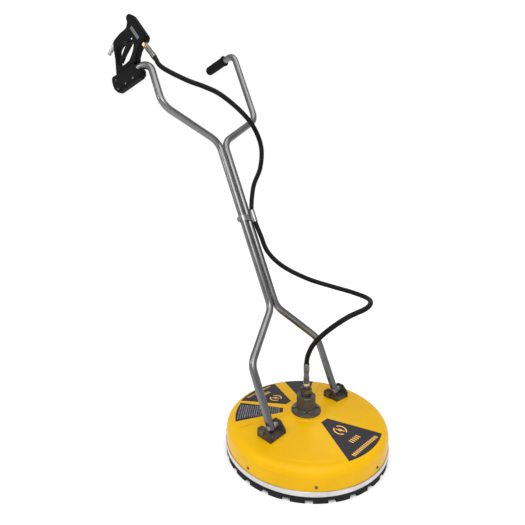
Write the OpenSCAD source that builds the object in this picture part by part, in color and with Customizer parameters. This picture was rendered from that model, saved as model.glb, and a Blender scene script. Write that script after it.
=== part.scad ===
// Rotary surface cleaner for a pressure washer: a round deck that rides over the ground on a
// rubber skirt, a spinning spray bar under it, a tilting two-tube handle and a trigger gun.
// Origin: on the ground, on the spray bar's axis. +Z is up, +Y is the way the machine is pushed,
// and +X is on the operator's right. All sizes are in millimetres and degrees.

/* [Deck] */
// Outer radius of the deck's side wall
deck_r = 263; // [262:0.5:264]
// Wall thickness of the moulded deck
deck_wall = 4; // [3:0.5:5]
// Radius of the rounded shoulder between side wall and crown
shoulder_r = 28; // [24:1:32]
// Height of the crown's inner edge above the ground
crown_z = 115.5; // [114.5:0.5:116]
// Fall of the crown towards the shoulder
crown_slope = 5.1; // [4.8:0.1:5.4]
// Height of the raised panels above the crown
panel_raise = 1.2; // [0.8:0.1:1.6]

/* [Skirt] */
// Number of teeth along the skirt's lower edge
tooth_count = 26; // [20:1:30]
// Height of the gaps between the teeth
notch_h = 10; // [6:1:12]
// Share of each pitch that is tooth
tooth_share = 0.65; // [0.5:0.05:0.75]
// Width of the metal rim band
band_w = 16; // [12:1:16]

/* [Spray bar] */
// Distance from the axis to each nozzle
nozzle_r = 210; // [180:5:220]
// Height of the bar above the ground
bar_z = 56; // [54:1:58]
// Tilt of the nozzles, which drives the spin
nozzle_tilt = 25; // [10:1:30]

/* [Handle] */
// Outer radius of the handle tubes
tube_r = 12.7; // [12.5:0.05:12.7]
// Wall thickness of the handle tubes
tube_wall = 1.6; // [1.2:0.1:2]
// Lean of the shaft back from upright
lean = 25.2; // [24:0.1:26]
// Sideways distance from the centre to each leg
leg_x = 162; // [158:1:164]
// Sideways distance from the centre to each horn
horn_x = 210; // [200:1:220]
// Height of the right horn's corner along the shaft
right_corner = 1263.5; // [1240:0.5:1290]
// Height of the left horn's corner along the shaft
left_corner = 1402.5; // [1380:0.5:1420]
// Length of the rubber grip
grip_l = 122; // [110:1:130]

/* [Gun] */
// Angle that the gun's plane is turned outwards from straight back
gun_turn = 20; // [18:1:22]
// Drop of the right horn's end below level
gun_drop = 17; // [16:1:18]
// Half of the gun's thickness
gun_half = 13; // [12.5:0.5:14]

/* [Hose] */
// Outer diameter of the hose
hose_d = 16; // [15:0.5:16]

/* [Hidden] */
$fn = 64;
eps = 0.01;
run_gap = 0.05;

// deck
rim_z = 20;
hub_r = 62;
collar_r = 60;
collar_z = 118;
center_hole_r = 22;
skin_wall_top = 38;
shoulder_x = deck_r - shoulder_r;
function crown(r) = crown_z - (r - hub_r) * tan(crown_slope);
shoulder_z = crown(shoulder_x) - shoulder_r / cos(crown_slope);
shoulder_steps = 10;
pad_in = 66;
pad_out = 232;
pad_start = 26;
label_t = 0.7;

// fasteners and hub
flange_pcd = 80;
housing_r = 31;
housing_top = 174;
bearing_r = 20;
bearing_h = 12;
bearing_z = [121, 141];
ball_track = 14;
ball_r = 2.2;
ball_count = 10;
shaft_r = 8.5;
shaft_top = 157.5;
adapter_top = 206;
ferrule_z = 216;
hose_z = 283;
rim_screw_count = 8;
rim_screw_z = 49;
rim_screw_turn = 1.5;

// brackets
bracket_y = 2;
bracket_in = 27.5;
ear_t = 5;
foot_top = 111.5;
bracket_bolt_x = 20;
bracket_bolt_y = [-19, 21];
pivot_y = -3;
pivot_z = 127;
pivot_bolt_r = 5;
sleeve_r = 9;

// handle tubes, in the handle's own frame: z runs along the shaft, y is forward
shaft_x = 12.9;
leg_bend_z = 195;
fork_z = 347;
yoke_z = 978;
horn_z = 1096;
horn_y = 6;
leg_bend = 60;
horn_bend = 45;
bend_draw = 0.04;
bend_lap = 0.5;
clip_z = 675;
clip_l = 44;
hose_r = hose_d / 2;
clip_hose = [-20, 21];
left_drop = 9.5;
left_reach = 61.4;
right_reach = 46.6;

// gun, in the gun's own frame: x is back, z is up, y is the gun's thickness
trigger_pivot = [18, 91.5];
trigger_half = 7;
valve_arm = 18;
barrel_at = [-34.3, 61.9];
barrel_turn = 220.2;
barrel_dir = [sin(barrel_turn), cos(barrel_turn)];
hose_start = 53.2;
valve_top = 92;
plug_at = [108, 93];
plug_turn = 132.7;
plug_dir = [sin(plug_turn), cos(plug_turn)];
boss_r = 8;
mount_top = 17;
mount_half = 17;
tube_in_mount = 98;
foot_line = function (x) (mount_top - x * sin(gun_drop)) / cos(gun_drop);

// the hose's route: gun to clip, then clip to swivel
upper_route = [
  [192, -485, 1246], [150, -410, 1200], [110, -360, 1175], [70, -325, 1150], [15, -290, 1100],
  [-25, -270, 1050], [-50, -260, 985], [-50, -266, 915], [-36, -287, 850]
];
lower_route = [
  [-24, -238, 680], [-30, -210, 625], [-58, -163, 575], [-112, -95, 532], [-166, -28, 506],
  [-200, 40, 489], [-184, 108, 482], [-117, 143, 477], [-45, 121, 457], [-10, 76, 413],
  [0, 30, 360], [0, 6, 315]
];

// ---- vectors -------------------------------------------------------------------------
function unit(v) = v / norm(v);
function to_world(p) = [p.x, pivot_y + p.y * cos(lean) - p.z * sin(lean),
  pivot_z + p.y * sin(lean) + p.z * cos(lean)];
function turn_local(v) = [v.x, v.y * cos(lean) + v.z * sin(lean), -v.y * sin(lean) + v.z * cos(lean)];
right_dir = [sin(gun_turn) * cos(gun_drop), -cos(gun_turn) * cos(gun_drop), -sin(gun_drop)];
left_dir = [0, -cos(left_drop), -sin(left_drop)];
right_knee = [horn_x, horn_y, right_corner];
left_knee = [-horn_x, horn_y, left_corner];
gun_origin = to_world(right_knee) + right_reach * right_dir;
grip_origin = to_world(left_knee) + left_reach * left_dir;

module in_handle() translate([0, pivot_y, pivot_z]) rotate([lean, 0, 0]) children();
module in_gun() translate(gun_origin) rotate([0, 0, gun_turn - 90]) children();
module in_mount() in_gun() rotate([0, gun_drop, 0]) children();
module at_barrel() translate([barrel_at.x, 0, barrel_at.y]) rotate([0, barrel_turn, 0]) children();
module in_barrel() in_gun() at_barrel() children();
module at_plug() translate([plug_at.x, 0, plug_at.y]) rotate([0, plug_turn, 0]) children();
module both_sides() for (side = [1, -1]) scale([side, 1, 1]) children();
module each_side() for (side = [1, -1]) translate([side * leg_x, 0, 0]) children();
module ring(r_out, r_in, z0, z1) translate([0, 0, z0]) difference() {
  cylinder(r = r_out, h = z1 - z0);
  translate([0, 0, -1]) cylinder(r = r_in, h = z1 - z0 + 2);
}
module along_x(r, x0, x1) translate([x0, 0, 0]) rotate([0, 90, 0]) cylinder(r = r, h = x1 - x0);
module hex(r, h) cylinder(r = r, h = h, $fn = 6);

// a closed outline with each corner rounded to the radius given as its third value; a corner that
// turns less than a few degrees stays as it is
function corner(p, q, s) = let (a = unit([p.x - q.x, p.y - q.y]), b = unit([s.x - q.x, s.y - q.y]),
  half = acos(a * b) / 2, sweep = 180 - 2 * half)
  sweep < 8 ? [[q.x, q.y]] : let (t = q[2] / tan(half), c = [q.x, q.y] + unit(a + b) * q[2] / sin(half),
  v0 = [q.x, q.y] + a * t - c, v1 = [q.x, q.y] + b * t - c,
  way = sign(v0.x * v1.y - v0.y * v1.x), n = max(2, ceil(sweep / 15)))
  [for (k = [0 : n]) let (g = way * sweep * k / n)
    c + [v0.x * cos(g) - v0.y * sin(g), v0.x * sin(g) + v0.y * cos(g)]];
function rounded(pts) = let (n = len(pts))
  [for (i = [0 : n - 1]) each corner(pts[(i + n - 1) % n], pts[i], pts[(i + 1) % n])];

// the outline moved inwards by d; its corners run clockwise
function edge_in(p, q) = unit([q.y - p.y, p.x - q.x]);
function inset(pts, d) = let (n = len(pts)) [for (i = [0 : n - 1])
  let (q = pts[i], a = edge_in(pts[(i + n - 1) % n], q), b = edge_in(q, pts[(i + 1) % n]))
    [q.x + d * (a.x + b.x) / (1 + a * b), q.y + d * (a.y + b.y) / (1 + a * b), q[2]]];

// a slab standing in the x-z plane, from y0 to y1
module slab(pts, y0, y1) translate([0, y1, 0]) rotate([90, 0, 0]) linear_extrude(y1 - y0) polygon(pts);
module across(x, z, r, y0, y1) translate([x, y1, z]) rotate([90, 0, 0]) cylinder(r = r, h = y1 - y0);

// ---- deck ----------------------------------------------------------------------------
function skin(off) = concat([[deck_r + off, rim_z], [deck_r + off, skin_wall_top]],
  [for (k = [0 : shoulder_steps]) let (a = k * (90 - crown_slope) / shoulder_steps)
    [shoulder_x + (shoulder_r + off) * cos(a), shoulder_z + (shoulder_r + off) * sin(a)]],
  [[hub_r, crown(hub_r) + off / cos(crown_slope)]]);
function reversed(v) = [for (i = [len(v) - 1 : -1 : 0]) v[i]];
deck_section = concat(skin(0), [[collar_r, collar_z], [center_hole_r, collar_z],
  [center_hole_r, collar_z - deck_wall], [collar_r - 2, collar_z - deck_wall]],
  reversed(skin(-deck_wall)));

module skin_layer(off0, off1) rotate_extrude($fn = 180) polygon(concat(skin(off1), reversed(skin(off0))));
module deck_solid() rotate_extrude($fn = 180)
  polygon(concat(skin(0), [[collar_r, collar_z], [0, collar_z], [0, rim_z]]));

// plan outline of a label: straight sides, round outer end
function label_plan(r_in, half_in, r_out, half_out) = concat(
  [[r_in * cos(half_in), -r_in * sin(half_in)]],
  [for (k = [-6 : 6]) let (a = k * half_out / 6) [r_out * cos(a), r_out * sin(a)]],
  [[r_in * cos(half_in), r_in * sin(half_in)]]);
label_shapes = [
  [90.5, label_plan(77, 11.7, 244, 21.2)], [-88, label_plan(77, 10.5, 240, 21.2)],
  [-49, label_plan(77, 9.6, 234, 14.2)], [-133, label_plan(77, 7, 242, 13.2)]];
module label_prism(which, grow) rotate([0, 0, label_shapes[which][0]])
  translate([0, 0, 60]) linear_extrude(80) scale([1, 1 + grow]) translate([-grow * 20, 0])
  polygon(label_shapes[which][1]);
module label(which) color([0.16, 0.16, 0.18]) intersection() {
  skin_layer(eps, label_t);
  label_prism(which, 0);
}

module raised_pad(start, sweep) rotate([0, 0, start]) rotate_extrude(angle = sweep, $fn = 180) polygon([
  [pad_in, crown(pad_in) - 1], [pad_in, crown(pad_in)], [pad_in + 2, crown(pad_in + 2) + panel_raise],
  [pad_out - 4, crown(pad_out - 4) + panel_raise], [pad_out, crown(pad_out)],
  [pad_out, crown(pad_out) - 1]]);

module at_flange_bolts() for (a = [45 : 90 : 315])
  rotate([0, 0, a]) translate([flange_pcd / 2, 0, 0]) children();
module at_bracket_bolts() for (side = [1, -1], dx = [-1, 1], dy = bracket_bolt_y)
  translate([side * leg_x + dx * bracket_bolt_x, bracket_y + dy, 0]) children();
module at_rim_screws() for (k = [0 : rim_screw_count - 1])
  rotate([0, 0, rim_screw_turn + k * 360 / rim_screw_count]) translate([0, 0, rim_screw_z]) children();

module deck_shell() color([0.96, 0.75, 0.04]) difference() {
  union() {
    rotate_extrude($fn = 180) polygon(deck_section);
    difference() {
      for (start = [pad_start, 180 + pad_start]) raised_pad(start, 180 - 2 * pad_start);
      for (k = [0 : 3]) label_prism(k, 0.015);
    }
  }
  at_flange_bolts() translate([0, 0, 100]) cylinder(r = 4.2, h = 30, $fn = 32);
  at_bracket_bolts() translate([0, 0, 90]) cylinder(r = 3.2, h = 40, $fn = 32);
  at_rim_screws() along_x(2.1, deck_r - 8, deck_r + 4);
}

module skirt() color([0.08, 0.08, 0.08]) difference() {
  rotate_extrude($fn = 180) polygon([[254.5, 0], [264.5, 0], [264.5, 19.8], [257.8, 19.8],
    [257.8, 58], [254.5, 58]]);
  for (k = [0 : tooth_count - 1]) rotate([0, 0, (k + 0.5) * 360 / tooth_count - 6])
    translate([245, -notch_w / 2, -1]) cube([30, notch_w, notch_h + 1]);
  at_rim_screws() along_x(2.1, 250, 262);
}
notch_w = 2 * deck_r * sin(180 / tooth_count) * (1 - tooth_share);

module rim_band() color([0.78, 0.78, 0.8]) rotate_extrude($fn = 180) polygon([
  [deck_r + 0.1, rim_z + 0.3], [deck_r + 1.9, rim_z + 0.3], [deck_r + 2.6, rim_z + 1.3],
  [deck_r + 2.1, rim_z + 3], [deck_r + 2.1, rim_z + band_w - 3], [deck_r + 2.6, rim_z + band_w - 1.3],
  [deck_r + 1.9, rim_z + band_w - 0.3], [deck_r + 0.1, rim_z + band_w - 0.3]]);

module rim_screws() color([0.7, 0.7, 0.72]) at_rim_screws() difference() {
  union() {
    along_x(2, 252, deck_r + 1);
    along_x(4.5, deck_r, deck_r + 1.4);
    along_x(3.4, deck_r + 1.4, deck_r + 2.4);
  }
  translate([deck_r + 1.4, -2.6, -0.5]) cube([3, 5.2, 1]);
  translate([deck_r + 1.4, -0.5, -2.6]) cube([3, 1, 5.2]);
}

// ---- swivel --------------------------------------------------------------------------
module swivel_housing() color([0.2, 0.2, 0.21]) difference() {
  rotate_extrude($fn = 96) polygon([[0, collar_z], [48, collar_z], [49, 119], [49, 123], [48, 124],
    [46, 124], [46, 127.5], [45.5, 128], [housing_r + 2, 128], [housing_r, 130],
    [housing_r, housing_top - 2], [housing_r - 2, housing_top], [0, housing_top]]);
  translate([0, 0, 100]) cylinder(r = bearing_r, h = 53.5);
  translate([0, 0, 120]) cylinder(r = 12.5, h = 38);
  translate([0, 0, 150]) cylinder(r = 5, h = 40);
  translate([0, 0, 162]) cylinder(r = 10.2, h = 20);
  at_flange_bolts() translate([0, 0, 100]) cylinder(r = 4.2, h = 40, $fn = 32);
}
module bearing_outer_races() color([0.75, 0.75, 0.77])
  for (z = bearing_z) ring(bearing_r - 0.02, ball_track + ball_r + run_gap, z, z + bearing_h);
module bearing_balls() color([0.85, 0.85, 0.87]) for (z = bearing_z, k = [0 : ball_count - 1])
  rotate([0, 0, k * 360 / ball_count]) translate([ball_track, 0, z + bearing_h / 2])
  sphere(r = ball_r, $fn = 24);
module retaining_ring() color([0.6, 0.6, 0.62]) ring(bearing_r - 0.1, 16.5, 119.2, 120.6);
module shaft_seal() color([0.07, 0.07, 0.07]) ring(12.45, shaft_r + 0.06, 153.8, 157.8);
module backing_plate() color([0.6, 0.6, 0.62]) difference() {
  ring(55, center_hole_r, 110, 114);
  at_flange_bolts() translate([0, 0, 100]) cylinder(r = 4.2, h = 40, $fn = 32);
}
module flange_bolts() color([0.62, 0.62, 0.64]) at_flange_bolts() {
  translate([0, 0, 100]) cylinder(r = 4, h = 28.5, $fn = 32);
  translate([0, 0, 128]) hex(6, 5);
}
module flange_nuts() color([0.62, 0.62, 0.64]) at_flange_bolts() translate([0, 0, 103.5]) difference() {
  hex(7.2, 6.5);
  translate([0, 0, -1]) cylinder(r = 4.02, h = 9, $fn = 32);
}
module inlet_adapter() color([0.16, 0.16, 0.17]) difference() {
  union() {
    translate([0, 0, 163]) cylinder(r = 10, h = 12);
    translate([0, 0, housing_top]) cylinder(r = 16.5, h = 3);
    translate([0, 0, housing_top + 3]) hex(18.5, 22);
    translate([0, 0, housing_top + 25]) cylinder(r = 12, h = adapter_top - housing_top - 25);
  }
  translate([0, 0, 160]) cylinder(r = 4.5, h = 60);
}
module hose_nut() color([0.85, 0.85, 0.86]) translate([0, 0, adapter_top]) difference() {
  hex(10.5, ferrule_z - adapter_top);
  translate([0, 0, -1]) cylinder(r = 4.5, h = 20);
}

// a crimped ferrule standing on z = 0, as long as l
module ferrule(l) color([0.68, 0.68, 0.66]) rotate_extrude() polygon([[4.5, 0], [7.6, 0], [8.2, 1],
  [8.2, 4], [9.8, 5.5], [9.8, l * 0.3], [9, l * 0.34], [9, l * 0.6], [9.8, l * 0.64],
  [9.8, l - 1.5], [8.8, l], [4.5, l]]);
module ferrule_lower() translate([0, 0, ferrule_z]) ferrule(hose_z - ferrule_z);

// ---- spray bar -----------------------------------------------------------------------
module rotor_shaft() color([0.78, 0.78, 0.8]) difference() {
  rotate_extrude() polygon([[0, 64], [shaft_r, 64], [shaft_r, 108], [12.5, 110], [12.5, 120.8],
    [shaft_r, 120.8], [shaft_r, shaft_top - 1], [shaft_r - 1, shaft_top], [0, shaft_top]]);
  translate([0, 0, 60]) cylinder(r = 3.5, h = 120);
}
module bearing_inner_races() color([0.75, 0.75, 0.77])
  for (z = bearing_z) ring(ball_track - ball_r - run_gap, shaft_r + 0.02, z, z + bearing_h);
module spray_hub() color([0.72, 0.6, 0.3]) difference() {
  rotate_extrude() polygon([[0, 46], [18, 46], [20, 48], [20, 74], [18, 76], [0, 76]]);
  translate([0, 0, 64]) cylinder(r = shaft_r + 0.02, h = 20);
  translate([0, 0, bar_z]) cylinder(r = 3, h = 20);
  translate([0, 0, bar_z]) along_x(7.05, 8, 30);
  translate([0, 0, bar_z]) along_x(7.05, -30, -8);
  translate([0, 0, bar_z]) along_x(3, -20, 20);
}
module spray_arms() color([0.76, 0.76, 0.78]) both_sides() translate([0, 0, bar_z]) difference() {
  along_x(7, 8.1, nozzle_r - 3);
  along_x(4.6, 0, nozzle_r + 5);
}
module in_nozzle() for (side = [1, -1]) translate([side * nozzle_r, 0, bar_z])
  rotate([0, 0, side == 1 ? 0 : 180]) rotate([nozzle_tilt, 0, 0]) children();
module nozzle_holders() color([0.72, 0.6, 0.3]) in_nozzle() difference() {
  translate([0, 0, -16]) cylinder(r = 10, h = 26);
  along_x(7.05, -20, -2.9);
  along_x(3, -10, 0);
  translate([0, 0, -20]) cylinder(r = 2.5, h = 20);
  translate([0, 0, -20]) cylinder(r = 5.2, h = 12);
}
module nozzles() color([0.8, 0.8, 0.82]) in_nozzle() difference() {
  union() {
    translate([0, 0, -20]) cylinder(r = 5.15, h = 11.9);
    translate([0, 0, -21]) hex(7, 4.9);
    translate([0, 0, -25]) cylinder(r = 4.5, h = 5);
  }
  translate([0, 0, -30]) cylinder(r = 1, h = 30);
  translate([0, 0, -26]) cube([12, 2, 3], center = true);
}

// ---- brackets ------------------------------------------------------------------------
ear_outline = [[-29, 90, 1], [29, 90, 1], [29, 121, 3], [9, 143, 6], [-14, 143, 6], [-29, 129, 3]];
module bracket(side) color([0.2, 0.2, 0.21]) difference() {
  translate([side * leg_x, bracket_y, 0]) {
    for (x = [-bracket_in - ear_t, bracket_in]) translate([x, 0, 0])
      rotate([90, 0, 90]) linear_extrude(ear_t) polygon(rounded(ear_outline));
    translate([-bracket_in - eps, -29, 90]) cube([2 * (bracket_in + eps), 58, foot_top - 90]);
  }
  deck_solid();
  at_bracket_bolts() translate([0, 0, 90]) cylinder(r = 3.2, h = 40, $fn = 32);
  translate([side * leg_x, pivot_y, pivot_z]) along_x(pivot_bolt_r + run_gap, -40, 40);
}
module bracket_bolts() color([0.55, 0.55, 0.57]) at_bracket_bolts() {
  translate([0, 0, 92]) cylinder(r = 3, h = foot_top - 91.5, $fn = 32);
  translate([0, 0, foot_top]) hex(5.4, 4);
}
module bracket_nuts() color([0.55, 0.55, 0.57]) at_bracket_bolts() translate([0, 0, 93.5]) difference() {
  hex(5.8, 5);
  translate([0, 0, -1]) cylinder(r = 3.02, h = 7, $fn = 32);
}
module at_pivot() for (side = [1, -1]) translate([side * leg_x, pivot_y, pivot_z])
  rotate([0, 0, side == 1 ? 0 : 180]) children();
pivot_end = bracket_in + ear_t;
module pivot_bolts() color([0.6, 0.6, 0.62]) at_pivot() {
  along_x(pivot_bolt_r, -pivot_end - 11, pivot_end + 0.5);
  translate([pivot_end, 0, 0]) rotate([0, 90, 0]) cylinder(r = 9.5, h = 1.2);
  translate([pivot_end + 1.2, 0, 0]) rotate([0, 90, 0]) hex(8.2, 5.5);
}
module pivot_nuts() color([0.6, 0.6, 0.62]) at_pivot() translate([-pivot_end - 8, 0, 0])
  rotate([0, 90, 0]) difference() {
    hex(8.2, 8);
    translate([0, 0, -1]) cylinder(r = pivot_bolt_r + 0.02, h = 10);
  }

// ---- handle --------------------------------------------------------------------------
// a round bar from p to q
module bar(p, q, r) let (d = q - p)
  translate(p) rotate([0, acos(d.z / norm(d)), atan2(d.y, d.x)]) cylinder(r = r, h = norm(d));
function flat_part(v, d) = unit(v - (v * d) * d);
function turn_at(p, q, s) = acos(unit(q - p) * unit(s - q));
function setback(pts, bends, i) = bends[i] == 0 ? 0
  : bends[i] * tan(turn_at(pts[i - 1], pts[i], pts[i + 1]) / 2);
// a bending list for the path pts: each row is straight length, twist, bend radius, bend angle
function bend_rows(pts, bends, x, i = 0) = i > len(pts) - 2 ? [] : let (
  d = unit(pts[i + 1] - pts[i]),
  reach = norm(pts[i + 1] - pts[i]) - setback(pts, bends, i) - setback(pts, bends, i + 1),
  last = i == len(pts) - 2, e = last ? d : unit(pts[i + 2] - pts[i + 1]), w = last ? x : flat_part(e, d),
  turn = last ? 0 : turn_at(pts[i], pts[i + 1], pts[i + 2]), twist = last ? 0 : atan2(cross(d, x) * w, x * w))
  concat([[reach, twist, bends[i + 1], turn]], bend_rows(pts, bends, cos(turn) * w - sin(turn) * d, i + 1));
// a round bar of radius r bent to the list, starting up +Z; more makes both ends longer. The bar
// draws down a hair in its bends, and each straight laps a little way into the bends beside it.
module bent(rows, r, more = 0, i = 0) {
  row = rows[i];
  last = i == len(rows) - 1;
  from = i == 0 ? -more : -bend_lap;
  translate([0, 0, from]) cylinder(r = r, h = row[0] - from + (last ? more : bend_lap));
  if (!last) translate([0, 0, row[0]]) rotate([0, 0, row[1]]) translate([row[2], 0, 0]) {
    rotate([90, 0, 180]) rotate_extrude(angle = row[3], $fn = 96)
      translate([row[2], 0]) circle(r = r - bend_draw, $fn = 48);
    rotate([0, row[3], 0]) translate([-row[2], 0, 0]) bent(rows, r, more, i + 1);
  }
}
function tube_path(side, knee, dir, reach) = [[side * leg_x, 0, -7], [side * leg_x, 0, leg_bend_z],
  [side * shaft_x, 0, fork_z], [side * shaft_x, 0, yoke_z], [side * horn_x, horn_y, horn_z],
  knee, knee + turn_local(dir) * reach];
tube_bends = [0, leg_bend, leg_bend, leg_bend, leg_bend, horn_bend, 0];
module handle_tube(side, knee, dir, reach) color([0.62, 0.62, 0.62]) in_handle() {
  rows = bend_rows(tube_path(side, knee, dir, reach), tube_bends, [1, 0, 0]);
  difference() {
    translate([side * leg_x, 0, -7]) difference() {
      bent(rows, tube_r);
      bent(rows, tube_r - tube_wall, 2);
    }
    translate([side * leg_x, 0, 0]) along_x(sleeve_r, -20, 20);
  }
}
right_len = right_reach + tube_in_mount;
left_len = left_reach + 114;
module tube_right() handle_tube(1, right_knee, right_dir, right_len);
module tube_left() handle_tube(-1, left_knee, left_dir, left_len);
module pivot_sleeves() color([0.5, 0.5, 0.52]) in_handle() each_side() difference() {
  along_x(sleeve_r - 0.02, -bracket_in + 0.3, bracket_in - 0.3);
  along_x(pivot_bolt_r + 0.06, -40, 40);
}
bead_r = 2.5;
bead_y = sqrt(pow(tube_r + bead_r - 0.2, 2) - shaft_x * shaft_x);
module weld_beads() color([0.45, 0.45, 0.46]) in_handle() for (z = [380, 500, 800, 920]) difference() {
  for (y = [-bead_y, bead_y]) translate([0, y, z]) cylinder(r = bead_r, h = 28, $fn = 24);
  for (x = [-shaft_x, shaft_x]) translate([x, 0, z - 1]) cylinder(r = tube_r + 0.02, h = 30);
}

strap_t = 1.6;
module tube_pair(r, h) {
  for (x = [-shaft_x, shaft_x]) translate([x, 0, 0]) cylinder(r = r, h = h);
  translate([-shaft_x, -r, 0]) cube([2 * shaft_x, 2 * r, h]);
}
module hose_clip() color([0.74, 0.74, 0.75]) in_handle() difference() {
  union() {
    translate([0, 0, clip_z - 11]) tube_pair(tube_r + 0.1 + strap_t, 22);
    translate([clip_hose.x, clip_hose.y, clip_z - clip_l / 2])
      cylinder(r = hose_r + 0.3 + strap_t, h = clip_l);
    translate([shaft_x + tube_r, -5, clip_z - 8]) cube([9, 10, 16]);
  }
  translate([0, 0, clip_z - 30]) tube_pair(tube_r + 0.1, 60);
  translate([clip_hose.x, clip_hose.y, clip_z - 30]) cylinder(r = hose_r + 0.3, h = 60);
  translate([shaft_x + tube_r - 2, -0.6, clip_z - 20]) cube([20, 1.2, 40]);
  across(shaft_x + tube_r + 5, clip_z, 2.1, -20, 20);
}
module clip_screw() color([0.7, 0.7, 0.72]) in_handle() translate([shaft_x + tube_r + 5, 0, clip_z])
  rotate([-90, 0, 0]) {
    translate([0, 0, -9]) cylinder(r = 2.05, h = 14.5, $fn = 32);
    translate([0, 0, 5]) cylinder(r = 4, h = 2.5, $fn = 32);
    translate([0, 0, -8]) hex(4, 3);
  }

// the rubber grip, along the left horn's end
module grip_left() color([0.07, 0.07, 0.07]) translate(grip_origin) rotate([90 + left_drop, 0, 0])
  rotate_extrude() polygon([[tube_r + 0.02, 0], [19.5, 0], [20.5, 1], [20.5, 4], [18, 6.5], [17.6, 20],
    [18, 60], [17.8, grip_l - 14], [16.6, grip_l - 7], [13.5, grip_l - 2], [9, grip_l], [0, grip_l],
    [0, 116.5], [tube_r + 0.02, 116.5]]);

// ---- gun mount -----------------------------------------------------------------------
// side outlines in the mount's own frame: x along the horn's end, z square to it
mount_outline = [[9, mount_top, 2], [1.5, -36, 3], [118, -42, 12], [128, -25, 10], [128, 0, 12],
  [122, mount_top, 8]];
nose_outline = [[12, -9, 1], [-9, -9, 2], [-10, -14, 3], [-4, -31, 4], [12, -33, 1]];
// the outline drawn in about c by the factors k
function drawn_in(pts, c, k) = [for (p = pts) [c.x + (p.x - c.x) * k.x, c.y + (p.y - c.y) * k.y]];
// a block whose outline is drawn in about mid by each step's first pair at its half-width
module rounded_block(pts, mid, steps) hull() for (step = steps)
  slab(drawn_in(rounded(pts), mid, step[0]), -step[1], step[1]);
mount_screw_at = [[30, -27], [68, -29], [107, -31], [107, -1]];
module mount_block() difference() {
  union() {
    rounded_block(mount_outline, [65, 4],
      [[[1, 1], mount_half - 9], [[0.985, 0.94], mount_half - 3], [[0.95, 0.8], mount_half]]);
    rounded_block(nose_outline, [4, -16], [[[1, 1], mount_half - 8], [[0.94, 0.9], mount_half - 2]]);
  }
  along_x(tube_r + 0.05, -20, tube_in_mount + 1);
  translate([-20, -mount_half - 1, -9]) cube([22, 2 * mount_half + 2, 12]);
  for (p = mount_screw_at) across(p.x, p.y, 2.1, -mount_half + 3, 30);
  for (p = mount_screw_at) across(p.x, p.y, 3.7, mount_half - 3.5, 30);
}
module mount_inner() color([0.07, 0.07, 0.07]) in_mount() intersection() {
  mount_block();
  translate([-50, -60, -80]) cube([250, 60, 160]);
}
module mount_outer() color([0.07, 0.07, 0.07]) in_mount() difference() {
  mount_block();
  translate([-50, -60, -80]) cube([250, 60, 160]);
}
module mount_screws() color([0.3, 0.3, 0.31]) in_mount() for (p = mount_screw_at) difference() {
  union() {
    across(p.x, p.y, 2, -mount_half + 4, mount_half - 3);
    across(p.x, p.y, 3.5, mount_half - 3.5, mount_half - 0.8);
  }
  translate([p.x, mount_half, p.y]) rotate([90, 0, 0]) hex(1.7, 2.5);
}

// ---- gun -----------------------------------------------------------------------------
gun_outline = [[4, foot_line(4), 2], [4, 32, 8], [-5, 51, 16], [-12, 60, 8], [-25, 71, 3], [-38, 79, 5],
  [-44.5, 91.5, 9], [14, 167, 12], [29.5, 173, 8], [42, 164, 8], [37, 147, 10], [42, 132, 10],
  [52, 126.5, 12], [71, 119.5, 30], [95, 106, 20], [108, 95, 6], [106.5, 64, 30], [103, 36, 30],
  [103, foot_line(103), 2]];
window_outline = [[9, 80, 5], [15, 56, 20], [23.5, 40.5, 12], [36, 24, 10], [52, 17, 10], [70, 11, 8],
  [86, 8, 8], [93, 24, 12], [95, 50, 20], [93.5, 68, 10], [84, 79, 10], [70, 86.5, 8], [56, 88, 3],
  [26, 86, 3]];
root_outline = [[6, 76, 3], [8.5, 96, 4], [22, 110, 4], [27, 115, 3], [36, 112, 4], [43, 101, 4],
  [54, 91, 4], [60, 84, 3], [60, 78, 3]];
gun_screw_at = [[27, 159], [-33, 88], [58, 99], [6, 44], [93, -1]];
gun_steps = [[0, 4], [0.5, 2.5], [1.3, 1.2], [2.6, 0]];
pin_way = [-cos(barrel_turn - 180), sin(barrel_turn - 180)];
pin_touch = trigger_pivot - valve_arm * barrel_dir;
valve_depth = pin_way * (barrel_at - pin_touch);
valve_z = -(barrel_at - pin_touch) * barrel_dir;
pipe_from = plug_at - 3 * plug_dir;
pipe_to = barrel_at - (valve_top - 8) * barrel_dir;
pipe_end = pipe_to + 4 * unit(pipe_from - pipe_to);

// the outline steps in towards the face, each step as [inset, depth below the face]
module gun_side() difference() {
  union() {
    for (step = gun_steps) slab(rounded(inset(gun_outline, step[0])), 0, gun_half - step[1]);
    intersection() {
      plug_line(-8, 1, boss_r);
      translate([50, 0, 50]) cube([100, 20, 100]);
    }
  }
  slab(rounded(window_outline), -1, gun_half + 1);
  slab(rounded(root_outline), -1, trigger_half + 0.6);
  for (p = gun_screw_at) across(p.x, p.y, 1.6, -1, 8.5);
  barrel_pocket();
  pin_guide();
}
module barrel_pocket() {
  at_barrel() translate([0, 0, -valve_top - 1]) cylinder(r = 9.4, h = valve_top + 11);
  pipe_line(4.3);
  plug_line(-7.5, 3, 5.5);
  plug_line(1, 40, 9);
}
module at_pin() translate([pin_touch.x, 0, pin_touch.y]) rotate([0, barrel_turn + 90, 0]) children();
module pin_guide() at_pin() translate([0, 0, -2]) cylinder(r = 2.6, h = 20);
module pipe_line(r) bar([pipe_from.x, 0, pipe_from.y], [pipe_end.x, 0, pipe_end.y], r);
module plug_line(z0, z1, r) at_plug() translate([0, 0, z0]) cylinder(r = r, h = z1 - z0);

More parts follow.
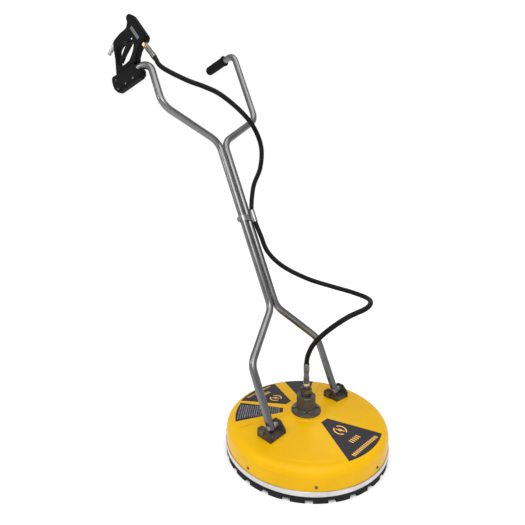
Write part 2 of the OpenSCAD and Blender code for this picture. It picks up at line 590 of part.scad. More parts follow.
module gun_shell_outer() color([0.06, 0.06, 0.06]) in_gun() difference() {
  gun_side();
  across(trigger_pivot.x, trigger_pivot.y, 2.55, -1, gun_half + 1);
  slab(badge_outline, gun_half - 0.5, gun_half + 1);
}
module gun_shell_inner() color([0.06, 0.06, 0.06]) in_gun() difference() {
  mirror([0, 1, 0]) gun_side();
  across(trigger_pivot.x, trigger_pivot.y, 2.55, -gun_half + 2, 1);
  for (p = gun_screw_at) across(p.x, p.y, 1.6, -gun_half - 1, 1);
  for (p = gun_screw_at) across(p.x, p.y, 3.1, -gun_half - 1, -gun_half + 3);
}
badge_from = [18.5, 128.1];
badge_to = [-12, 87.1];
badge_run = unit(badge_to - badge_from);
badge_side = 5.5 * [badge_run.y, -badge_run.x];
badge_outline = [badge_from + badge_side, badge_from - badge_side, badge_to - badge_side,
  badge_to + badge_side];
module gun_badge() color([0.5, 0.52, 0.53]) in_gun() slab(badge_outline, gun_half - 0.5, gun_half + 0.4);
module gun_screws() color([0.3, 0.3, 0.31]) in_gun() for (p = gun_screw_at) {
  across(p.x, p.y, 1.55, -gun_half + 1, 8);
  across(p.x, p.y, 2.9, -gun_half + 0.6, -gun_half + 3);
}
module valve_body() color([0.78, 0.62, 0.3]) in_gun() difference() {
  at_barrel() translate([0, 0, -valve_top]) cylinder(r = 9, h = valve_top - 20);
  at_barrel() translate([0, 0, -valve_top + 5]) cylinder(r = 4, h = valve_top);
  at_barrel() translate([0, 0, valve_z]) rotate([0, -90, 0]) cylinder(r = 2.05, h = 12, $fn = 32);
  pipe_line(4.02);
}
module valve_pin() color([0.8, 0.8, 0.82]) in_gun() at_pin() {
  translate([0, 0, 2.3]) cylinder(r = 2, h = valve_depth - 8.3, $fn = 32);
  translate([0, 0, 2.3]) sphere(r = 2, $fn = 32);
}
module inlet_pipe() color([0.78, 0.62, 0.3]) in_gun() difference() {
  pipe_line(4);
  pipe_line(2.4);
}
module inlet_plug() color([0.75, 0.75, 0.76]) in_gun() difference() {
  at_plug() {
    translate([0, 0, -7]) cylinder(r = 5.2, h = 9);
    translate([0, 0, 1.5]) hex(8.4, 6);
    rotate_extrude() polygon([[0, 7], [6, 7], [6, 12], [7, 12], [7, 20], [5.9, 21], [5.9, 25],
      [7, 26.5], [7, 29.5], [5.9, 31], [5.9, 45], [5.2, 46], [0, 46]]);
  }
  at_plug() translate([0, 0, -4]) cylinder(r = 3.2, h = 60);
  pipe_line(4.02);
}
module outlet_fitting() color([0.8, 0.62, 0.28]) in_barrel() difference() {
  union() {
    translate([0, 0, -19.5]) cylinder(r = 8.8, h = 9);
    translate([0, 0, -11]) hex(11.3, 9);
    translate([0, 0, -2]) cylinder(r = 8, h = 5);
  }
  translate([0, 0, -20]) cylinder(r = 4, h = 30);
}
module ferrule_upper() in_barrel() translate([0, 0, 3]) ferrule(hose_start - 3);

trigger_outline = [[28, 109.5, 2], [34.5, 104.5, 3], [37, 95, 6], [48, 82, 6], [62, 66, 20], [73, 50, 20],
  [84.5, 30, 3], [83.5, 22, 2], [64, 49, 30], [44.5, 69, 30], [31, 83, 8], [20, 83.5, 6],
  [10.5, 87, 5], [10.5, 95, 5]];
module trigger() color([0.09, 0.09, 0.09]) in_gun() difference() {
  slab(rounded(trigger_outline), -trigger_half, trigger_half);
  at_pin() translate([-4, -3.5, -eps]) cube([12, 7, 20]);
  across(trigger_pivot.x, trigger_pivot.y, 2.56, -20, 20);
  across(trigger_pivot.x, trigger_pivot.y, 5.6, trigger_half - 4, 20);
}
module trigger_pin() color([0.7, 0.7, 0.72]) in_gun()
  across(trigger_pivot.x, trigger_pivot.y, 2.5, -gun_half + 2.2, gun_half + 0.3);
module trigger_spring() color([0.6, 0.6, 0.62]) in_gun() for (k = [0 : 1])
  translate([trigger_pivot.x, trigger_half - 2.8 + k * 2, trigger_pivot.y]) rotate([90, 0, 0])
  rotate_extrude() translate([4.2, 0]) circle(r = 0.8, $fn = 24);

// ---- hose ----------------------------------------------------------------------------
// smooth curve through the route's points
function curve_at(p, i, t) = let (a = p[i - 1], b = p[i], c = p[i + 1], d = p[i + 2])
  0.5 * (2 * b + (c - a) * t + (2 * a - 5 * b + 4 * c - d) * t * t + (3 * b - 3 * c + d - a) * t * t * t);
function smooth(route, before, after, steps) = let (p = concat([before], route, [after]))
  concat([for (i = [1 : len(p) - 3], k = [0 : steps - 1]) curve_at(p, i, k / steps)],
    [route[len(route) - 1]]);
ring_sides = 12;
function tangents(p) = [for (i = [0 : len(p) - 1]) unit(p[min(i + 1, len(p) - 1)] - p[max(i - 1, 0)])];
// each ring's side vector is the one before it, squared up to the new direction
function sides(t, i, v) = i == len(t) ? [] : let (w = unit(v - (v * t[i]) * t[i]))
  concat([w], sides(t, i + 1, w));
module hose(line, start_dir, end_dir) {
  n = len(line);
  mid = tangents(line);
  t = [for (i = [0 : n - 1]) i == 0 ? unit(start_dir) : i == n - 1 ? unit(end_dir) : mid[i]];
  s = sides(t, 0, unit(cross(t[0], [0.3, 1, 0.2])));
  pts = [for (i = [0 : n - 1], k = [0 : ring_sides - 1]) let (a = k * 360 / ring_sides)
    line[i] + hose_r * (cos(a) * s[i] + sin(a) * cross(t[i], s[i]))];
  faces = concat([[for (k = [0 : ring_sides - 1]) k]],
    [for (i = [0 : n - 2], k = [0 : ring_sides - 1]) let (k2 = (k + 1) % ring_sides)
      [i * ring_sides + k, (i + 1) * ring_sides + k, (i + 1) * ring_sides + k2, i * ring_sides + k2]],
    [[for (k = [ring_sides - 1 : -1 : 0]) (n - 1) * ring_sides + k]]);
  color([0.07, 0.07, 0.07]) polyhedron(pts, faces, convexity = 10);
}
shaft_way = [0, -sin(lean), cos(lean)];
clip_point = to_world([clip_hose.x, clip_hose.y, clip_z]);
barrel_out = [sin(barrel_turn) * sin(gun_turn), -sin(barrel_turn) * cos(gun_turn), cos(barrel_turn)];
barrel_end = gun_origin + barrel_at.x * [sin(gun_turn), -cos(gun_turn), 0] + [0, 0, barrel_at.y]
  + hose_start * barrel_out;
swivel_end = [0, 0, hose_z];
hose_gap = 0.3;
clip_above = clip_point + 22 * shaft_way;
clip_below = clip_point - 22 * shaft_way;
upper_line = concat(smooth(concat([barrel_end], upper_route, [clip_above]),
  barrel_end - 30 * barrel_out, clip_point - 30 * shaft_way, 2), [clip_point]);
lower_line = concat([clip_point - hose_gap * shaft_way],
  smooth(concat([clip_below], lower_route, [swivel_end]), clip_point + 30 * shaft_way,
    swivel_end - [0, 0, 30], 2));
module hose_upper() hose(upper_line, barrel_out, -shaft_way);
module hose_lower() hose(lower_line, -shaft_way, [0, 0, -1]);

// ---- output --------------------------------------------------------------------------
deck_shell();
label(0);  // label_front
label(1);  // label_back
label(2);  // label_info
label(3);  // label_side
skirt();
rim_band();
rim_screws();
swivel_housing();
bearing_outer_races();
bearing_balls();
retaining_ring();
shaft_seal();
backing_plate();
flange_bolts();
flange_nuts();
inlet_adapter();
hose_nut();
ferrule_lower();
bracket(1);  // bracket_right
bracket(-1);  // bracket_left
bracket_bolts();
bracket_nuts();
pivot_bolts();
pivot_nuts();
rotor_shaft();
bearing_inner_races();
spray_hub();
spray_arms();
nozzle_holders();
nozzles();
tube_right();
tube_left();
pivot_sleeves();
weld_beads();
hose_clip();
clip_screw();
grip_left();
mount_inner();
mount_outer();
mount_screws();
gun_shell_inner();
gun_shell_outer();
gun_badge();
gun_screws();
valve_body();
valve_pin();
inlet_pipe();
inlet_plug();
outlet_fitting();
ferrule_upper();
trigger();
trigger_pin();
trigger_spring();
hose_upper();
hose_lower();
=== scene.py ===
"""The looks of the rotary surface cleaner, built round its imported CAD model."""

import math

import bpy
from mathutils import Matrix, Vector


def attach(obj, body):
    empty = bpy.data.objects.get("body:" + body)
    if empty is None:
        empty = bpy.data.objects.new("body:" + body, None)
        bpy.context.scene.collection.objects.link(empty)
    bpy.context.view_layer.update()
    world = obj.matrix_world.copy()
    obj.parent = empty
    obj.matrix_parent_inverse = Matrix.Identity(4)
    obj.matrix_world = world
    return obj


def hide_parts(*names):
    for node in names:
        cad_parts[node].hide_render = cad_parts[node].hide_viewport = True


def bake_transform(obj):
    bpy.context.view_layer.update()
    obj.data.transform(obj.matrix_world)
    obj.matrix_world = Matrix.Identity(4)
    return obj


MM = 0.001
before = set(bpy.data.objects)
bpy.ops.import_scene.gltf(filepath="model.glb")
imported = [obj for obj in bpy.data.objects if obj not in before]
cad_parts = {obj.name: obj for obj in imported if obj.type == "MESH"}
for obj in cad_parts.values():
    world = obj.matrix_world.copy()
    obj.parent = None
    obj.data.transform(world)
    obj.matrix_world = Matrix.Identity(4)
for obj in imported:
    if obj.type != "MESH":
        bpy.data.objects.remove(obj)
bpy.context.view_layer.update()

# ---- camera ---------------------------------------------------------------------------
EYE = Vector((0.9183, 0.7680, 0.8301))
LOOK = Vector((-0.6757, -0.7157, -0.1766)).normalized()
ROUGHLY_RIGHT = Vector((-0.7262, 0.6874, -0.0073))
LENS_MM, SENSOR_MM, NEAREST = 26.80, 36.0, 0.02

UP = ROUGHLY_RIGHT.cross(LOOK).normalized()
RIGHT = LOOK.cross(UP)
camera_data = bpy.data.cameras.new("camera")
camera_data.lens = LENS_MM
camera_data.sensor_width = SENSOR_MM
camera_data.clip_start = NEAREST
camera = bpy.data.objects.new("camera", camera_data)
camera.matrix_world = Matrix.Translation(EYE) @ Matrix((RIGHT, UP, -LOOK)).transposed().to_4x4()
bpy.context.scene.collection.objects.link(camera)
bpy.context.scene.camera = camera


# ---- dimensions repeated from the CAD, in millimetres and radians ---------------------
PIVOT_Y, PIVOT_Z, LEAN = -3, 127, math.radians(25.2)
HORN_X, HORN_Y, RIGHT_CORNER, RIGHT_REACH = 210, 6, 1263.5, 46.6
CLIP_X, CLIP_Y, CLIP_Z, CLIP_LENGTH = -20, 21, 675, 44
GUN_TURN, GUN_DROP = math.radians(20), math.radians(17)
BARREL_BACK, BARREL_UP, BARREL_TURN = -34.3, 61.9, math.radians(220.2)
HOSE_D, HOSE_START, HOSE_FOOT_Z = 16, 53.2, 283
CROWN_Z, HUB_R, CROWN_SLOPE, LABEL_T = 115.5, 62.0, math.radians(5.1), 0.7
SHOULDER_X, SHOULDER_R = 235.0, 28.0
FRONT_TURN, BACK_TURN, INFO_TURN = 90.5, -88, -49  # the labels, in degrees


# ---- geometry helpers -----------------------------------------------------------------
def vec(x, y, z):
    """A point given in millimetres."""
    return Vector((x, y, z)) * MM


def mesh_piece(name, points, faces, smooth=True):
    """A new mesh object from points in metres."""
    mesh = bpy.data.meshes.new(name)
    mesh.from_pydata([tuple(p) for p in points], [], faces)
    mesh.validate()
    mesh.polygons.foreach_set("use_smooth", [smooth] * len(mesh.polygons))
    mesh.update()
    piece = bpy.data.objects.new(name, mesh)
    bpy.context.scene.collection.objects.link(piece)
    return piece


CURVE_STEPS = 14
SEAM_HINT = Vector((0.3, 1.0, 0.2))  # any way that no tube starts along


def catmull_rom(points):
    """A smooth curve through the inner points; the first and last only steer it."""
    line = []
    for a, b, c, d in zip(points, points[1:], points[2:], points[3:]):
        for k in range(CURVE_STEPS):
            t = k / CURVE_STEPS
            line.append(0.5 * (2 * b + (c - a) * t + (2 * a - 5 * b + 4 * c - d) * t * t
                               + (3 * b - 3 * c + d - a) * t ** 3))
    line.append(points[-2])
    return line


def tube(name, line, radius, first, last, sides=24):
    """A closed round tube along line, square to first and last at its ends."""
    n = len(line)
    way = [(line[min(i + 1, n - 1)] - line[max(i - 1, 0)]).normalized() for i in range(n)]
    way[0], way[-1] = first.normalized(), last.normalized()
    side = way[0].cross(SEAM_HINT).normalized()
    points, faces = [], []
    for p, w in zip(line, way):
        side = (side - side.dot(w) * w).normalized()
        other = w.cross(side)
        for k in range(sides):
            a = 2 * math.pi * k / sides
            points.append(p + radius * (math.cos(a) * side + math.sin(a) * other))
    for i in range(n - 1):
        for k in range(sides):
            k2 = (k + 1) % sides
            faces.append([i * sides + k, i * sides + k2, (i + 1) * sides + k2, (i + 1) * sides + k])
    faces.append(list(range(sides))[::-1])
    faces.append([(n - 1) * sides + k for k in range(sides)])
    return mesh_piece(name, points, faces)


# ---- hoses ----------------------------------------------------------------------------
# The CAD's own routes, gun to clip and clip to swivel, in millimetres.
UPPER_ROUTE = [
    (192, -485, 1246), (150, -410, 1200), (110, -360, 1175), (70, -325, 1150), (15, -290, 1100),
    (-25, -270, 1050), (-50, -260, 985), (-50, -266, 915), (-36, -287, 850),
]
LOWER_ROUTE = [
    (-24, -238, 680), (-30, -210, 625), (-58, -163, 575), (-112, -95, 532), (-166, -28, 506),
    (-200, 40, 489), (-184, 108, 482), (-117, 143, 477), (-45, 121, 457), (-10, 76, 413),
    (0, 30, 360), (0, 6, 315),
]
UPWARD = Vector((0, 0, 1))
SHAFT_WAY = Vector((0, -math.sin(LEAN), math.cos(LEAN)))
SHAFT_FRONT = Vector((0, math.cos(LEAN), math.sin(LEAN)))


def in_handle(x, forward, along):
    """A point given in the handle's own millimetres."""
    return vec(x, PIVOT_Y, PIVOT_Z) + forward * MM * SHAFT_FRONT + along * MM * SHAFT_WAY


GUN_BACK = Vector((math.sin(GUN_TURN), -math.cos(GUN_TURN), 0))
HORN_WAY = Vector((GUN_BACK.x * math.cos(GUN_DROP), GUN_BACK.y * math.cos(GUN_DROP),
                   -math.sin(GUN_DROP)))
GUN = in_handle(HORN_X, HORN_Y, RIGHT_CORNER) + RIGHT_REACH * MM * HORN_WAY
BARREL_WAY = GUN_BACK * math.sin(BARREL_TURN) + math.cos(BARREL_TURN) * UPWARD
BARREL_END = (GUN + MM * (BARREL_BACK * GUN_BACK + BARREL_UP * UPWARD)
              + HOSE_START * MM * BARREL_WAY)

CLIP = in_handle(CLIP_X, CLIP_Y, CLIP_Z)
CLIP_HALF = CLIP_LENGTH / 2 * MM
CLIP_TOP, CLIP_FOOT = CLIP + CLIP_HALF * SHAFT_WAY, CLIP - CLIP_HALF * SHAFT_WAY
SWIVEL_END = vec(0, 0, HOSE_FOOT_Z)
HOSE_R = HOSE_D / 2 * MM
LEAD = 30 * MM  # from a curve's end to the point that steers it
upper_line = catmull_rom(
    [BARREL_END - LEAD * BARREL_WAY, BARREL_END, *(vec(*p) for p in UPPER_ROUTE),
     CLIP_TOP, CLIP - LEAD * SHAFT_WAY]) + [CLIP]
lower_line = [CLIP] + catmull_rom(
    [CLIP + LEAD * SHAFT_WAY, CLIP_FOOT, *(vec(*p) for p in LOWER_ROUTE),
     SWIVEL_END, SWIVEL_END - LEAD * UPWARD])
hose_upper = tube("hose_upper_cover", upper_line, HOSE_R, BARREL_WAY, -SHAFT_WAY)
hose_lower = tube("hose_lower_cover", lower_line, HOSE_R, -SHAFT_WAY, -UPWARD)
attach(hose_upper, "handle")
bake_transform(hose_lower)
for hose, line, node, leaves in ((hose_upper, upper_line, "hose_upper", BARREL_END),
                                 (hose_lower, lower_line, "hose_lower", SWIVEL_END)):
    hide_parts(node)


# ---- materials ------------------------------------------------------------------------
def new_material(name):
    made = bpy.data.materials.new(name)
    made.use_nodes = True
    tree = made.node_tree
    return made, tree, tree.nodes["Principled BSDF"]


def node(tree, kind, **inputs):
    """A node with its inputs set by name; spaces in a name are given as underscores."""
    made = tree.nodes.new(kind)
    for key, value in inputs.items():
        made.inputs[key.replace("_", " ")].default_value = value
    return made


def noise(tree, scale, detail=3.0, stretch=None, roughness=0.55):
    """Noise in object coordinates, per metre; stretch squeezes it along an axis."""
    where = tree.nodes.new("ShaderNodeTexCoord")
    source = where.outputs["Object"]
    if stretch:
        mapping = node(tree, "ShaderNodeMapping", Scale=stretch)
        tree.links.new(source, mapping.inputs["Vector"])
        source = mapping.outputs["Vector"]
    made = node(tree, "ShaderNodeTexNoise", Scale=scale, Detail=detail, Roughness=roughness)
    tree.links.new(source, made.inputs["Vector"])
    return made.outputs["Fac"]


def spread(tree, factor, low, high, start=0.3, end=0.7):
    """Maps a factor on to a number range."""
    made = node(tree, "ShaderNodeMapRange", From_Min=start, From_Max=end, To_Min=low, To_Max=high)
    tree.links.new(factor, made.inputs["Value"])
    return made.outputs["Result"]


def tint(tree, factor, dark, light, start=0.3, end=0.7):
    """Maps a factor on to a range of colours."""
    made = tree.nodes.new("ShaderNodeValToRGB")
    ramp = made.color_ramp
    ramp.elements[0].position, ramp.elements[1].position = start, end
    ramp.elements[0].color, ramp.elements[1].color = (*dark, 1), (*light, 1)
    tree.links.new(factor, made.inputs["Fac"])
    return made.outputs["Color"]


def bump(tree, shader, layers):
    """Stacks bumps: each layer is a height factor, its depth in metres and its strength."""
    normal = None
    for height, depth, strength in layers:
        made = node(tree, "ShaderNodeBump", Distance=depth, Strength=strength)
        tree.links.new(height, made.inputs["Height"])
        if normal:
            tree.links.new(normal, made.inputs["Normal"])
        normal = made.outputs["Normal"]
    tree.links.new(normal, shader.inputs["Normal"])


def mean(tree, one, two):
    """The mean of two factors."""
    half = node(tree, "ShaderNodeMath")
    half.operation = "MULTIPLY"
    both = node(tree, "ShaderNodeMath")
    both.operation = "MULTIPLY_ADD"
    for made, factor in ((both, one), (half, two)):
        made.inputs[1].default_value = 0.5
        tree.links.new(factor, made.inputs[0])
    tree.links.new(half.outputs[0], both.inputs[2])
    return both.outputs[0]


WAVE_STRENGTH = 0.5


def surface(name, dark, light, rough, metal=0.0, blotch=6.0, grain=900.0, grain_depth=0.00006,
            grain_strength=0.25, stretch=None, coat=0.0, coat_rough=0.1, specular=0.5, wave=None):
    """A surface with blotched colour, uneven roughness and a fine grain.

    dark and light are the colour's two ends, and rough holds the roughness's. stretch squeezes the
    grain along an axis, and wave adds a slow unevenness, given as a scale and a depth."""
    made, tree, shader = new_material(name)
    broad = noise(tree, blotch, 4.0)
    fine = noise(tree, grain, 2.0, stretch)
    tree.links.new(tint(tree, broad, dark, light), shader.inputs["Base Color"])
    tree.links.new(spread(tree, mean(tree, fine, broad), *rough), shader.inputs["Roughness"])
    shader.inputs["Metallic"].default_value = metal
    shader.inputs["Coat Weight"].default_value = coat
    shader.inputs["Coat Roughness"].default_value = coat_rough
    shader.inputs["Specular IOR Level"].default_value = specular
    layers = [(fine, grain_depth, grain_strength)]
    if wave:
        scale, depth = wave
        layers.insert(0, (noise(tree, scale, 1.0), depth, WAVE_STRENGTH))
    bump(tree, shader, layers)
    return made


M = {
    "deck": surface("deck_yellow", (0.62, 0.335, 0.001), (0.69, 0.385, 0.0015), (0.26, 0.38),
                    grain=1500, grain_depth=0.00003, grain_strength=0.12, specular=0.12,
                    wave=(9, 0.0012)),
    "label": surface("label_film", (0.018, 0.017, 0.022), (0.027, 0.025, 0.032), (0.34, 0.50),
                     grain=2500, grain_depth=0.00002, grain_strength=0.2, specular=0.16),
    "gold": surface("print_gold", (0.74, 0.38, 0.05), (0.82, 0.44, 0.08), (0.35, 0.45), grain=2500,
                    grain_depth=0.00002, specular=0.3),
    "grey_print": surface("print_grey", (0.16, 0.15, 0.20), (0.22, 0.21, 0.26), (0.4, 0.5),
                          grain=2500, grain_depth=0.00002, specular=0.3),
    "skirt": surface("skirt_rubber", (0.008, 0.008, 0.009), (0.018, 0.018, 0.020), (0.60, 0.80),
                     blotch=14, grain=700, grain_depth=0.00015, grain_strength=0.35, specular=0.1),
    "band": surface("band_steel", (0.50, 0.50, 0.52), (0.66, 0.66, 0.68), (0.24, 0.40), metal=1.0,
                    blotch=10, grain=500, stretch=(1, 1, 12), grain_depth=0.00002),
    "zinc": surface("zinc_plate", (0.36, 0.36, 0.37), (0.55, 0.55, 0.56), (0.28, 0.45), metal=1.0,
                    blotch=90, grain=1800, grain_depth=0.00002),
    "dark_zinc": surface("dark_fastener", (0.10, 0.095, 0.09), (0.22, 0.21, 0.20), (0.30, 0.46),
                         metal=0.9, blotch=90, grain=1800, grain_depth=0.00002),
    "hub": surface("hub_coat", (0.060, 0.052, 0.046), (0.095, 0.082, 0.072), (0.34, 0.50),
                   metal=0.3, blotch=25, grain=1300, grain_depth=0.00006, specular=0.35),
    "bracket": surface("bracket_coat", (0.042, 0.034, 0.027), (0.080, 0.066, 0.052), (0.40, 0.60),
                       metal=0.2, blotch=30, grain=1300, grain_depth=0.00007, specular=0.25),
    "ground": surface("ground_steel", (0.50, 0.50, 0.52), (0.64, 0.64, 0.66), (0.18, 0.30),
                      metal=1.0, blotch=40, grain=1500, stretch=(1, 1, 8), grain_depth=0.00001),
    "seal": surface("seal_rubber", (0.012, 0.012, 0.012), (0.02, 0.02, 0.02), (0.5, 0.65),
                    specular=0.3),
    "plate": surface("plate_steel", (0.34, 0.34, 0.35), (0.48, 0.48, 0.49), (0.35, 0.5), metal=1.0,
                     blotch=30, grain=900),
    "adapter": surface("adapter_black", (0.060, 0.058, 0.060), (0.15, 0.145, 0.145), (0.20, 0.36),
                       metal=0.9, blotch=60, grain=1500, grain_depth=0.00003, specular=0.4),
    "bright": surface("bright_nickel", (0.62, 0.62, 0.63), (0.76, 0.76, 0.76), (0.12, 0.24),
                      metal=1.0, blotch=60, grain=1800, grain_depth=0.00001),
    "plug": surface("plug_steel", (0.22, 0.22, 0.225), (0.42, 0.42, 0.425), (0.16, 0.30),
                    metal=1.0, blotch=80, grain=1800, grain_depth=0.00001),
    "ferrule": surface("ferrule_plate", (0.085, 0.083, 0.080), (0.17, 0.166, 0.160), (0.20, 0.34),
                       metal=1.0, blotch=70, grain=1300, grain_depth=0.00004),
    "brass": surface("brass", (0.34, 0.24, 0.12), (0.50, 0.38, 0.22), (0.24, 0.38), metal=1.0,
                     blotch=60, grain=1500, grain_depth=0.00002),
    "tube": surface("tube_silver", (0.13, 0.13, 0.132), (0.19, 0.19, 0.192), (0.22, 0.34),
                    metal=0.85, blotch=12, grain=1600, grain_depth=0.00003, coat=0.3,
                    coat_rough=0.18, specular=0.4),
    "weld": surface("weld_bead", (0.10, 0.10, 0.10), (0.18, 0.18, 0.18), (0.35, 0.55), metal=0.8,
                    blotch=120, grain=450, stretch=(1, 1, 2.2), grain_depth=0.0006,
                    grain_strength=0.6),
    "clip": surface("clip_sheet", (0.22, 0.22, 0.225), (0.36, 0.36, 0.365), (0.26, 0.4), metal=1.0,
                    blotch=50, grain=1200, stretch=(6, 1, 1), grain_depth=0.00002),
    "grip": surface("grip_rubber", (0.004, 0.004, 0.0045), (0.009, 0.009, 0.0095), (0.55, 0.75),
                    blotch=30, grain=900, grain_depth=0.00012, grain_strength=0.4, specular=0.06),
    "moulding": surface("black_moulding", (0.0035, 0.0035, 0.004), (0.008, 0.008, 0.0085),
                        (0.40, 0.60), blotch=18, grain=1700, grain_depth=0.00007,
                        grain_strength=0.35, specular=0.06),
    "badge": surface("badge_grey", (0.075, 0.084, 0.086), (0.11, 0.12, 0.122), (0.34, 0.46),
                     grain=2200, grain_depth=0.00002, specular=0.35),
    "trigger": surface("trigger_black", (0.004, 0.004, 0.0045), (0.009, 0.009, 0.0095), (0.34, 0.5),
                       blotch=24, grain=1900, grain_depth=0.00004, specular=0.07),
    "hose": surface("hose_rubber", (0.004, 0.004, 0.004), (0.010, 0.010, 0.010), (0.40, 0.58),
                    blotch=20, grain=800, grain_depth=0.0001, grain_strength=0.35, specular=0.08),
}

NODE_LOOK = {
    "deck_shell": "deck", "label_front": "label", "label_back": "label", "label_info": "label",
    "label_side": "label", "skirt": "skirt", "rim_band": "band", "rim_screws": "dark_zinc",
    "swivel_housing": "hub", "bearing_outer_races": "ground", "bearing_balls": "bright",
    "retaining_ring": "plate", "shaft_seal": "seal", "backing_plate": "plate",
    "flange_bolts": "dark_zinc", "flange_nuts": "zinc", "inlet_adapter": "adapter",
    "hose_nut": "bright", "ferrule_lower": "ferrule", "bracket_right": "bracket",
    "bracket_left": "bracket", "bracket_bolts": "dark_zinc", "bracket_nuts": "dark_zinc",
    "pivot_bolts": "dark_zinc", "pivot_nuts": "dark_zinc", "rotor_shaft": "ground",
    "bearing_inner_races": "ground", "spray_hub": "brass", "spray_arms": "ground",
    "nozzle_holders": "brass", "nozzles": "bright", "tube_right": "tube", "tube_left": "tube",
    "pivot_sleeves": "plate", "weld_beads": "weld", "hose_clip": "clip", "clip_screw": "zinc",
    "grip_left": "grip", "mount_inner": "moulding", "mount_outer": "moulding",
    "mount_screws": "adapter", "gun_shell_inner": "moulding", "gun_shell_outer": "moulding",
    "gun_badge": "badge", "gun_screws": "dark_zinc", "valve_body": "brass", "valve_pin": "ground",
    "inlet_pipe": "brass", "inlet_plug": "plug", "outlet_fitting": "brass",
    "ferrule_upper": "ferrule", "trigger": "trigger", "trigger_pin": "zinc",
    "trigger_spring": "ground", "hose_upper": "hose", "hose_lower": "hose",
}


def dress(piece, look):
    piece.data.materials.clear()
    piece.data.materials.append(M[look])


for name, look in NODE_LOOK.items():
    dress(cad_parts[name], look)
dress(hose_upper, "hose")
dress(hose_lower, "hose")

# ---- printed marks on the labels ------------------------------------------------------
PRINT_T, PRINT_SUNK = 0.12, 0.1
STROKE_STEP, ARC_STEP = 4, 9  # millimetres and degrees between a strip's points


def crown(r):
    """Height of the deck's crown at radius r, in millimetres."""
    return CROWN_Z - (r - HUB_R) * math.tan(CROWN_SLOPE)


SHOULDER_Z = crown(SHOULDER_X) - SHOULDER_R / math.cos(CROWN_SLOPE)


def label_z(r):
    """Height of a label's face at radius r, in millimetres."""
    if r < SHOULDER_X + SHOULDER_R * math.sin(CROWN_SLOPE):
        return crown(r) + LABEL_T / math.cos(CROWN_SLOPE)
    reach = SHOULDER_R + LABEL_T
    return SHOULDER_Z + math.sqrt(max(reach ** 2 - (r - SHOULDER_X) ** 2, 0))


def printed(name, turn, strips, look):
    """Raised print on a label. A strip is a list of (left, right) edge points in the label's own
    millimetres: x outward from the axis and y across."""
    points, faces = [], []
    c, s = math.cos(math.radians(turn)), math.sin(math.radians(turn))
    for strip in strips:
        base = len(points)
        for left, right in strip:
            for x, y in (left, right):
                z = label_z(math.hypot(x, y))
                for h in (-PRINT_SUNK, PRINT_T):
                    points.append(vec(x * c - y * s, x * s + y * c, z + h))
        rows = len(strip)
        for i in range(rows - 1):
            a, b = base + 4 * i, base + 4 * (i + 1)
            faces += [[a + 1, a + 3, b + 3, b + 1], [a, b, b + 2, a + 2],
                      [a, a + 1, b + 1, b], [a + 2, b + 2, b + 3, a + 3]]
        end = base + 4 * (rows - 1)
        faces += [[base, base + 2, base + 3, base + 1], [end, end + 1, end + 3, end + 2]]
    piece = mesh_piece(name, points, faces, smooth=False)
    dress(piece, look)
    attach(piece, "deck")


def stroke(x0, y0, x1, y1, width):
    """A straight strip from one point to another."""
    along = Vector((x1 - x0, y1 - y0))
    steps = max(1, round(along.length / STROKE_STEP))
    off = Vector((-along.y, along.x)).normalized() * width / 2
    row = []
    for k in range(steps + 1):
        p = Vector((x0, y0)) + along * k / steps
        row.append((tuple(p + off), tuple(p - off)))
    return row


def arc(x, y, r, start, end, width):
    """A strip round part of a circle, angles in degrees."""
    steps = max(3, round(abs(end - start) / ARC_STEP))
    row = []
    for k in range(steps + 1):
        a = math.radians(start + (end - start) * k / steps)
        row.append(((x + (r - width / 2) * math.cos(a), y + (r - width / 2) * math.sin(a)),
                    (x + (r + width / 2) * math.cos(a), y + (r + width / 2) * math.sin(a))))
    return row


EMBLEM_X, EMBLEM_R = 136, 19
RING_GAP, RING_W = 20, 4.2
ARM_REACH, ARM_RISE, ARM_W = 0.62, 0.3, 4.0  # reach and rise as shares of the ring's radius
CENTRE_R, CENTRE_W = 0.2, 3.4
SLAT_LEAN = 1.5


def spinner(x, r):
    """A plain emblem: a broken ring with a two-armed bar in it."""
    rings = [arc(x, 0, r, start + RING_GAP, start + 180 - RING_GAP, RING_W) for start in (0, 180)]
    arms = stroke(x - r * ARM_REACH, -r * ARM_RISE, x + r * ARM_REACH, r * ARM_RISE, ARM_W)
    return [*rings, arms, arc(x, 0, r * CENTRE_R, 0, 360, CENTRE_W)]


def slats(x, half, count, height, width):
    """A row of slanted bars across the label."""
    step = 2 * half / (count - 1)
    return [stroke(x - height / 2, -half + k * step - SLAT_LEAN,
                   x + height / 2, -half + k * step + SLAT_LEAN, width)
            for k in range(count)]


emblem = spinner(EMBLEM_X, EMBLEM_R) + slats(188, half=18, count=5, height=15, width=4.0)
printed("print_front", FRONT_TURN, emblem + slats(224, half=60, count=17, height=11, width=4.2),
        "gold")
printed("print_back", BACK_TURN, emblem + slats(220, half=56, count=15, height=9, width=3.4),
        "gold")

# rows of dashes in place of small print; a word is its length in letters
WORDS = [5, 9, 3, 7, 11, 4, 8, 6, 10, 3, 7, 5, 12, 6, 4, 9]
LETTER_W, WORD_GAP, SHORTEST_WORD, WORD_STRIDE = 1.35, 2.4, 3, 3
INFO_ROWS, INFO_START, INFO_PITCH = 19, 90, 7.4
INFO_SPREAD, INFO_MARGIN = math.radians(11.6), 2.5
ROW_W, HEADING_W, HEADING_EVERY = 2.6, 3.8, 5
info_rows = []
for k in range(INFO_ROWS):
    x = INFO_START + k * INFO_PITCH
    half = x * math.tan(INFO_SPREAD) - INFO_MARGIN
    y, word = -half, k
    while y < half - SHORTEST_WORD:
        reach = min(y + WORDS[word % len(WORDS)] * LETTER_W, half)
        info_rows.append(stroke(x, y, x, reach, ROW_W if k % HEADING_EVERY else HEADING_W))
        y, word = reach + WORD_GAP, word + WORD_STRIDE
printed("print_info", INFO_TURN, info_rows, "grey_print")

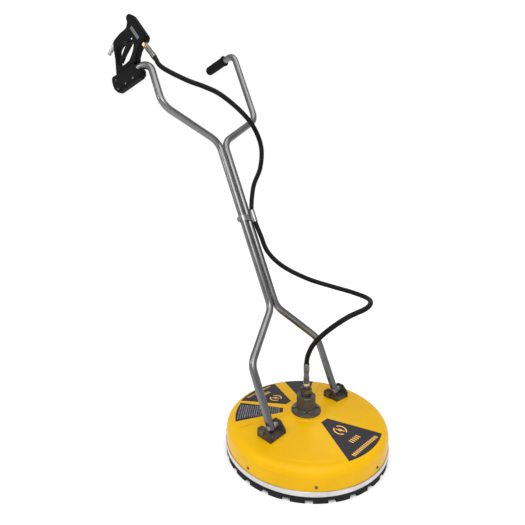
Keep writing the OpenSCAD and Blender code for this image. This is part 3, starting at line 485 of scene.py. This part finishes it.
# ---- stage ----------------------------------------------------------------------------
bpy.context.scene.view_settings.view_transform = "Standard"
FLOOR_HALF, FLOOR_DROP = 60.0, 0.0005
floor = mesh_piece("floor", [(-FLOOR_HALF, -FLOOR_HALF, 0), (FLOOR_HALF, -FLOOR_HALF, 0),
                             (FLOOR_HALF, FLOOR_HALF, 0), (-FLOOR_HALF, FLOOR_HALF, 0)],
                   [[0, 1, 2, 3]], smooth=False)
floor.location.z = -FLOOR_DROP
floor_look, floor_tree, floor_shader = new_material("floor_pale")
floor_tone = tint(floor_tree, noise(floor_tree, 3.0), (0.94, 0.94, 0.94), (0.96, 0.96, 0.96))
floor_tree.links.new(floor_tone, floor_shader.inputs["Base Color"])
floor_shader.inputs["Roughness"].default_value = 0.8
floor.data.materials.append(floor_look)

world = bpy.data.worlds.new("studio")
bpy.context.scene.world = world
world.use_nodes = True
ROOM, BACKDROP = 0.5, 1.0  # strength for lighting, and as the camera sees it
sky = world.node_tree.nodes["Background"]
sky.inputs["Color"].default_value = (1.0, 1.0, 1.0, 1)
sky_level = node(world.node_tree, "ShaderNodeMapRange", To_Min=ROOM, To_Max=BACKDROP)
world.node_tree.links.new(world.node_tree.nodes.new("ShaderNodeLightPath").outputs["Is Camera Ray"],
                          sky_level.inputs["Value"])
world.node_tree.links.new(sky_level.outputs["Result"], sky.inputs["Strength"])


def softbox(name, where, target, size, power):
    """A square area light at where, facing target."""
    data = bpy.data.lights.new(name, "AREA")
    data.size = size
    data.energy = power
    light = bpy.data.objects.new(name, data)
    light.location = where
    light.rotation_euler = (Vector(target) - Vector(where)).to_track_quat("-Z", "Y").to_euler()
    bpy.context.scene.collection.objects.link(light)


CEILING_POWER, CEILING_ANGLE = 2.3, math.radians(70)
softbox("key", (1.6, 1.6, 2.6), (0, -0.2, 0.4), 1.0, 16)
softbox("side", (2.4, -1.2, 1.8), (0, -0.3, 0.6), 0.7, 10)
softbox("back", (-2.0, -1.4, 2.4), (0, -0.2, 0.6), 1.0, 8)

ceiling = bpy.data.lights.new("ceiling", "SUN")
ceiling.energy = CEILING_POWER
ceiling.angle = CEILING_ANGLE
ceiling_light = bpy.data.objects.new("ceiling", ceiling)
ceiling_light.rotation_euler = (math.radians(-20), math.radians(20), 0)
bpy.context.scene.collection.objects.link(ceiling_light)
